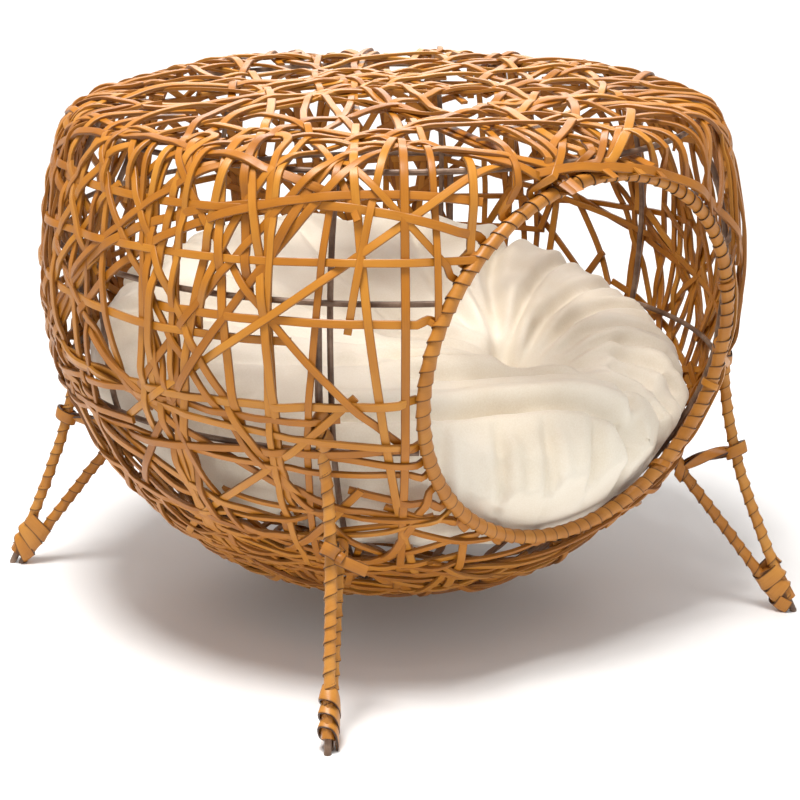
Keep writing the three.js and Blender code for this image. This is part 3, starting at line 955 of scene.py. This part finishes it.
def brace(name, outer, inner):
    """A strip tie from the weave beside the inner rod to a wide tilted loop round the outer rod."""
    tie = Builder()
    node = f"leg_{name}_brace"
    low, high = corners(node)
    a = at_height(inner, min(inner[-1][2], low[2] + 20 * MM))
    b = at_height(outer, high[2] - 8 * MM)
    out = unit(b - a)
    rod = unit(at_height(outer, high[2] + 5 * MM) - at_height(outer, high[2] - 25 * MM))
    side = unit(np.cross(rod, out))  # to the right, seen from outside
    folded = name == "front_left"  # here the strip's end was left long, folded under its own band
    band = unit(rod + side * (0.5 if folded else 0.12))
    tilted_loop(tie, b + out * 0.6 * MM, band, out, 5.2 * MM, 7.2 * MM, 1.6 * MM, 8.8 * MM, 2.6)
    climb = unit(at_height(inner, a[2]) - at_height(inner, a[2] - 25 * MM))
    tilted_loop(tie, a - climb * 3 * MM, climb, out, 4.9 * MM, 5.4 * MM, 4 * MM, 7 * MM, 1.0, 3 * MM)
    bar = smooth_line([a, a + (b - a) * 0.5 + UP * 2.5 * MM, b], 2.5 * MM)
    lift = np.cross(out, side)
    for phase in (0.4, 0.4 + math.pi):
        twist = phase + np.linspace(0, 2.6, len(bar))
        facing = np.cos(twist)[:, None] * lift + np.sin(twist)[:, None] * side
        tie.sweep(bar + facing * 1.5 * MM, facing, 7.6 * MM, 2.2 * MM)
    if folded:
        knot = b + side * 6.5 * MM - rod * 4.5 * MM
        tilted_loop(tie, knot, unit(side * 0.75 - rod * 0.5), out, 3.2 * MM, 4.2 * MM, 0.0, 5 * MM, 1.0)
        start = b + side * 3 * MM - rod * 4 * MM + out * 2 * MM
        drop = unit(side - rod * 0.45)
        end = start + drop * 22 * MM - out * 3 * MM
        tail = smooth_line([start, start + drop * 10 * MM, end], 3 * MM)
        tie.sweep(tail, np.tile(out, (len(tail), 1)), 8 * MM, 1.7 * MM)
    tie.build(f"leg_{name}_tie_strips", PEEL, "basket", "rattan_peel", [node])


def belly_binding(name, angle, outer):
    """Two crossing turns of strip that hold the outer rod against the weave and its ring."""
    binding = Builder()
    node = f"leg_{name}_belly_binding"
    low, high = corners(node)
    out = unit(polar(1, 0, angle) - AXIS)
    for z, tilt, side_tilt in ((high[2], 6 * MM, 1), (low[2] + 7 * MM, -5 * MM, -1)):
        middle = at_height(outer, z) - out * 2 * MM
        along = unit(UP + np.cross(UP, out) * 0.55 * side_tilt)
        spin = rng.uniform(2.6, 3.6)
        tilted_loop(binding, middle, along, out, 5.2 * MM, 6.4 * MM, tilt, 8.5 * MM, spin)
    binding.build(f"leg_{name}_belly_strips", PEEL, "basket", "rattan_peel", [node])


# ---- cushion ----


PILLOW_HALF = 13.5 * MM  # from the thread's middle up to the pillow's


def cushion_frame():
    """The pillow's middle and its own right, back and up directions, from the thread through it."""
    thread = vertices("cushion_tuft_thread")
    middle = thread.mean(axis=0)
    upper = thread[:, 2] > middle[2]
    up = unit(thread[upper].mean(axis=0) - thread[~upper].mean(axis=0))
    right = np.array([1.0, 0, 0])
    return middle + up * PILLOW_HALF, right, np.cross(up, right), up


RIB_ROOM = 16.5 * MM  # between the shell's outside and the cushion


def bowl_radius(z):
    """How far from the axis the cushion may reach at height z before it would press on the ribs."""
    line = np.array(shell_profile())
    low_to_high = line[np.argsort(line[:, 1])]
    return np.interp(z, low_to_high[:, 1], low_to_high[:, 0]) - RIB_ROOM


CLOTH_STEPS = 20
CLOTH_CAP = 9 * MM  # how far the cloth may carry a point


def inflate(pad, held):
    """Fills the cover like cloth over stuffing, with the points in held kept down by the thread."""
    group = pad.vertex_groups.new(name="held")
    group.add(held, 1.0, "REPLACE")
    before = mesh_points(pad.data)
    cloth = pad.modifiers.new("cloth", "CLOTH")
    settings = cloth.settings
    settings.quality = 5
    settings.mass = 0.25
    settings.tension_stiffness = 18
    settings.compression_stiffness = 12
    settings.shear_stiffness = 6
    settings.bending_stiffness = 0.25
    settings.use_pressure = True
    settings.uniform_pressure_force = 4
    settings.vertex_group_mass = "held"
    settings.shrink_min = -0.07
    settings.effector_weights.gravity = 0
    cloth.collision_settings.use_collision = False
    cloth.point_cache.frame_start, cloth.point_cache.frame_end = 1, CLOTH_STEPS
    scene = bpy.context.scene
    for step in range(1, CLOTH_STEPS + 1):
        scene.frame_set(step)
    apply_modifiers(pad)
    move = mesh_points(pad.data) - before
    size = np.linalg.norm(move, axis=1, keepdims=True)
    put_points(pad.data, before + move * np.minimum(1, CLOTH_CAP / np.maximum(size, 1e-9)))
    scene.frame_set(1)


def put_points(mesh, points):
    mesh.vertices.foreach_set("co", points.ravel())
    mesh.update()


TUFT = (46 * MM, -70 * MM)  # the tuft lies off the pillow's middle, towards its right front
TUFT_RADIUS = 9 * MM
SINKS = (  # hollows of the pillow, or lobes where the depth is negative, as (place, depth, radius)
    (TUFT, 27 * MM, 15 * MM),
    (TUFT, 12 * MM, 44 * MM),
    ((150 * MM, 138 * MM), -9 * MM, 42 * MM),
    ((95 * MM, -165 * MM), -7 * MM, 70 * MM),
)
# Folds of the cover in the pillow's own plane, millimetres to the right and back of its middle, each as
# (half width, valley depth, height of the lobe on its left, points).
FOLDS = (
    (6, 11, 4.5, ((46, -70), (62, -36), (92, 14), (140, 66), (192, 104))),
    (4, 6, 2.5, ((46, -70), (54, -40), (66, -6), (80, 32))),
    (4, 7, 3.5, ((46, -70), (66, -46), (104, -14), (156, 22), (204, 46))),
    (4, 5.5, 3.2, ((50, -72), (68, -62), (112, -38), (160, -16), (206, -6))),
    (4, 5.5, 3.2, ((50, -74), (74, -72), (116, -58), (160, -48), (200, -52))),
    (4, 5, 3, ((54, -76), (80, -84), (116, -80), (150, -82), (178, -100), (188, -118))),
    (3.8, 5, 3, ((54, -80), (78, -94), (112, -94), (138, -104), (156, -128), (160, -150))),
    (4, 5, 3, ((54, -84), (76, -102), (100, -108), (122, -122), (134, -146), (134, -172))),
    (4, 4.5, 2.4, ((68, -102), (92, -116), (108, -138), (112, -164), (106, -190))),
    (5, 8, 4.5, ((46, -70), (18, -78), (-14, -76), (-44, -62), (-78, -50))),
    (5, 7, 4, ((-70, -84), (-30, -104), (10, -112), (46, -128), (74, -150), (96, -176))),
    (6, 11, 6, ((-150, -100), (-110, -124), (-70, -140), (-30, -148), (10, -160), (44, -180), (60, -206))),
    (4.5, 6, 3, ((74, -150), (64, -178), (50, -204), (44, -222))),
    (4, 6, 3, ((30, -172), (20, -194), (8, -216), (4, -228))),
    (4, 6, 3, ((-8, -168), (-18, -190), (-26, -212), (-30, -224))),
    (4, 6, 3, ((-44, -160), (-54, -184), (-62, -206), (-66, -220))),
    (4, 6, 3, ((-80, -148), (-94, -172), (-104, -192), (-112, -206))),
    (4.5, 5, 2.6, ((96, -150), (96, -180), (86, -206), (80, -220))),
    (5, 5, 2.6, ((46, -70), (44, -16), (60, 50), (92, 110), (118, 160))),
    (5, 4.6, 2.6, ((44, -68), (14, -6), (-4, 70), (8, 140), (20, 196))),
    (5, 4.2, 2.4, ((40, -68), (-20, -22), (-66, 40), (-92, 112), (-98, 176))),
    (5, 4.6, 2.4, ((36, -70), (-40, -44), (-110, 0), (-160, 60), (-176, 108))),
    (5, 4.2, 2.4, ((30, -76), (-60, -68), (-130, -40), (-180, 2), (-204, 30))),
)


def fold_height(u, v, wide, deep, lobe, points):
    """A fold along a line of cushion points: a valley, with a rounder lobe on its left than on its right."""
    p = smooth_line([(a * MM, b * MM, 0) for a, b in points], 4 * MM)[:, :2]
    nearest = np.full(len(u), 9.0)
    signed, fade = np.zeros(len(u)), np.zeros(len(u))
    for i in range(len(p) - 1):
        along = unit(p[i + 1] - p[i])
        x, y = u - p[i, 0], v - p[i, 1]
        t = np.clip(x * along[0] + y * along[1], 0, np.linalg.norm(p[i + 1] - p[i]))
        distance = np.hypot(x - t * along[0], y - t * along[1])
        near = distance < nearest
        nearest = np.where(near, distance, nearest)
        signed = np.where(near, np.sign(along[0] * y - along[1] * x) * distance, signed)
        fade = np.where(near, min(1, (i + 0.6) / 5, (len(p) - 1 - i) / 4), fade)
    w = wide * MM * (0.8 + 0.3 * fade)
    valley = deep * np.exp(-((signed / w) ** 2))
    left = lobe * np.exp(-(((signed - 2.1 * w) / (1.4 * w)) ** 2))
    right = 0.5 * lobe * np.exp(-(((signed + 2.1 * w) / (1.2 * w)) ** 2))
    return fade * (left + right - valley) * MM


def cushion():
    """The filled pillow pressed into the bowl, inflated as cloth with its middle held, then creased."""
    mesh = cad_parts["cushion_filling"].data.copy()
    pad = link_object("cushion_pad", mesh)
    remesh = pad.modifiers.new("remesh", "REMESH")
    remesh.mode = "VOXEL"
    remesh.voxel_size = 5 * MM
    apply_modifiers(pad)
    middle, right, back, up = cushion_frame()

    def in_plane():
        points = mesh_points(pad.data)
        local = np.stack([(points - middle) @ axis for axis in (right, back, up)], axis=1)
        return points, local[:, 0], local[:, 1]

    points, u, v = in_plane()
    held = np.where(np.hypot(u - TUFT[0], v - TUFT[1]) < TUFT_RADIUS)[0].tolist()
    inflate(pad, held)
    subdivide(pad)
    points, u, v = in_plane()
    normals = np.empty(len(points) * 3)
    pad.data.vertices.foreach_get("normal", normals)
    normals = normals.reshape(-1, 3)
    upper = np.clip((normals @ up + 0.6) / 0.5, 0, 1)
    lumps = np.array([noise.noise(Vector(p) * 11.0) + 0.5 * noise.noise(Vector(p) * 23.0) for p in points])
    lift = lumps * 3.0 * MM * (0.35 + 0.65 * upper)
    for fold in FOLDS:
        lift += upper * fold_height(u, v, *fold)
    sink = 0
    for (x, y), deep, wide in SINKS:
        sink = sink + deep * np.exp(-((np.hypot(u - x, v - y) / wide) ** 2))
    points = points + normals * lift[:, None] - up * (sink * upper)[:, None]
    flat = points - AXIS
    reach = np.hypot(flat[:, 0], flat[:, 1])
    pull = np.minimum(1, bowl_radius(flat[:, 2]) / np.maximum(reach, 1e-6))
    points[:, 0] = AXIS[0] + flat[:, 0] * pull
    points[:, 1] = AXIS[1] + flat[:, 1] * pull
    put_points(pad.data, points)
    mesh = pad.data
    mesh.materials.clear()
    mesh.materials.append(VELVET)
    mesh.polygons.foreach_set("use_smooth", [True] * len(mesh.polygons))
    pad.vertex_groups.clear()
    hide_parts("cushion_cover_top", "cushion_cover_bottom", "cushion_filling", "cushion_tuft_thread")
    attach(pad, "cushion")


def subdivide(obj):
    sub = obj.modifiers.new("subdivision", "SUBSURF")
    sub.levels = sub.render_levels = 1
    apply_modifiers(obj)


def apply_modifiers(obj):
    depsgraph = bpy.context.evaluated_depsgraph_get()
    made = bpy.data.meshes.new_from_object(obj.evaluated_get(depsgraph))
    obj.modifiers.clear()
    old = obj.data
    obj.data = made
    bpy.data.meshes.remove(old)


# ---- stage ----


def stage():
    """A pale floor that curves up into a wall behind the basket."""
    mesh = bpy.data.meshes.new("floor")
    bend_at, bend = 1.6, 1.2
    profile = [(-4.0, 0.0), (bend_at, 0.0)]
    for a in np.linspace(0, math.pi / 2, 12):
        profile.append((bend_at + bend * math.sin(a), bend * (1 - math.cos(a))))
    profile.append((bend_at + bend, 5.0))
    verts = [(x, y, z) for y, z in profile for x in (-6.0, 6.0)]
    faces = [(2 * i, 2 * i + 1, 2 * i + 3, 2 * i + 2) for i in range(len(profile) - 1)]
    mesh.from_pydata(verts, [], faces)
    mesh.polygons.foreach_set("use_smooth", [True] * len(mesh.polygons))
    floor = link_object("floor", mesh)
    floor.rotation_euler = (0, 0, math.radians(-37))
    material, *_ = shader("floor_paint", Base_Color=(0.86, 0.86, 0.86, 1), Roughness=0.8)
    mesh.materials.append(material)


def area_light(name, place, target, size, power, colour=(1, 1, 1)):
    data = bpy.data.lights.new(name, "AREA")
    data.shape, data.size, data.energy, data.color = "DISK", size, power, colour
    light = link_object(name, data)
    light.location = place
    light.rotation_euler = (Vector(target) - Vector(place)).to_track_quat("-Z", "Y").to_euler()


def lights():
    world = bpy.data.worlds.new("studio")
    bpy.context.scene.world = world
    world.use_nodes = True
    background = world.node_tree.nodes["Background"]
    background.inputs["Color"].default_value = (1, 1, 1, 1)
    background.inputs["Strength"].default_value = 0.52
    area_light("key", (-0.55, -0.25, 2.4), (0, 0, 0.2), 0.9, 80, (1.0, 0.985, 0.96))
    area_light("fill", (0.6, -2.4, 1.0), (0, 0, 0.2), 1.6, 6)
    area_light("back", (1.32, 1.76, 1.15), (0, 0, 0.33), 1.1, 9, (1.0, 0.99, 0.97))


CAMERA_AZIMUTH = math.radians(-37.04)
CAMERA_AWAY = 1.5971  # level distance from the basket's axis
CAMERA_HIGH = 0.6387
CAMERA_DOWN = math.radians(17.31)
CAMERA_LENS = 102.68  # millimetres, on a sensor 36 wide
CAMERA_SWING = -0.003  # radians from the azimuth, which centres the basket as in the photograph


def camera():
    data = bpy.data.cameras.new("camera")
    data.lens = CAMERA_LENS
    data.sensor_width = 36
    data.clip_end = 50
    cam = link_object("camera", data)
    away = np.array([math.sin(CAMERA_AZIMUTH), -math.cos(CAMERA_AZIMUTH), 0]) * CAMERA_AWAY
    cam.location = AXIS + away + UP * CAMERA_HIGH
    cam.rotation_euler = (math.pi / 2 - CAMERA_DOWN, 0, CAMERA_AZIMUTH + CAMERA_SWING)
    scene = bpy.context.scene
    scene.camera = cam
    scene.view_settings.view_transform = "Standard"
    scene.view_settings.look = "None"


weave()
frame_wires()
entry_hoop()
for leg_name, leg_angle in LEGS.items():
    leg(leg_name, leg_angle)
cushion()
stage()
lights()
camera()
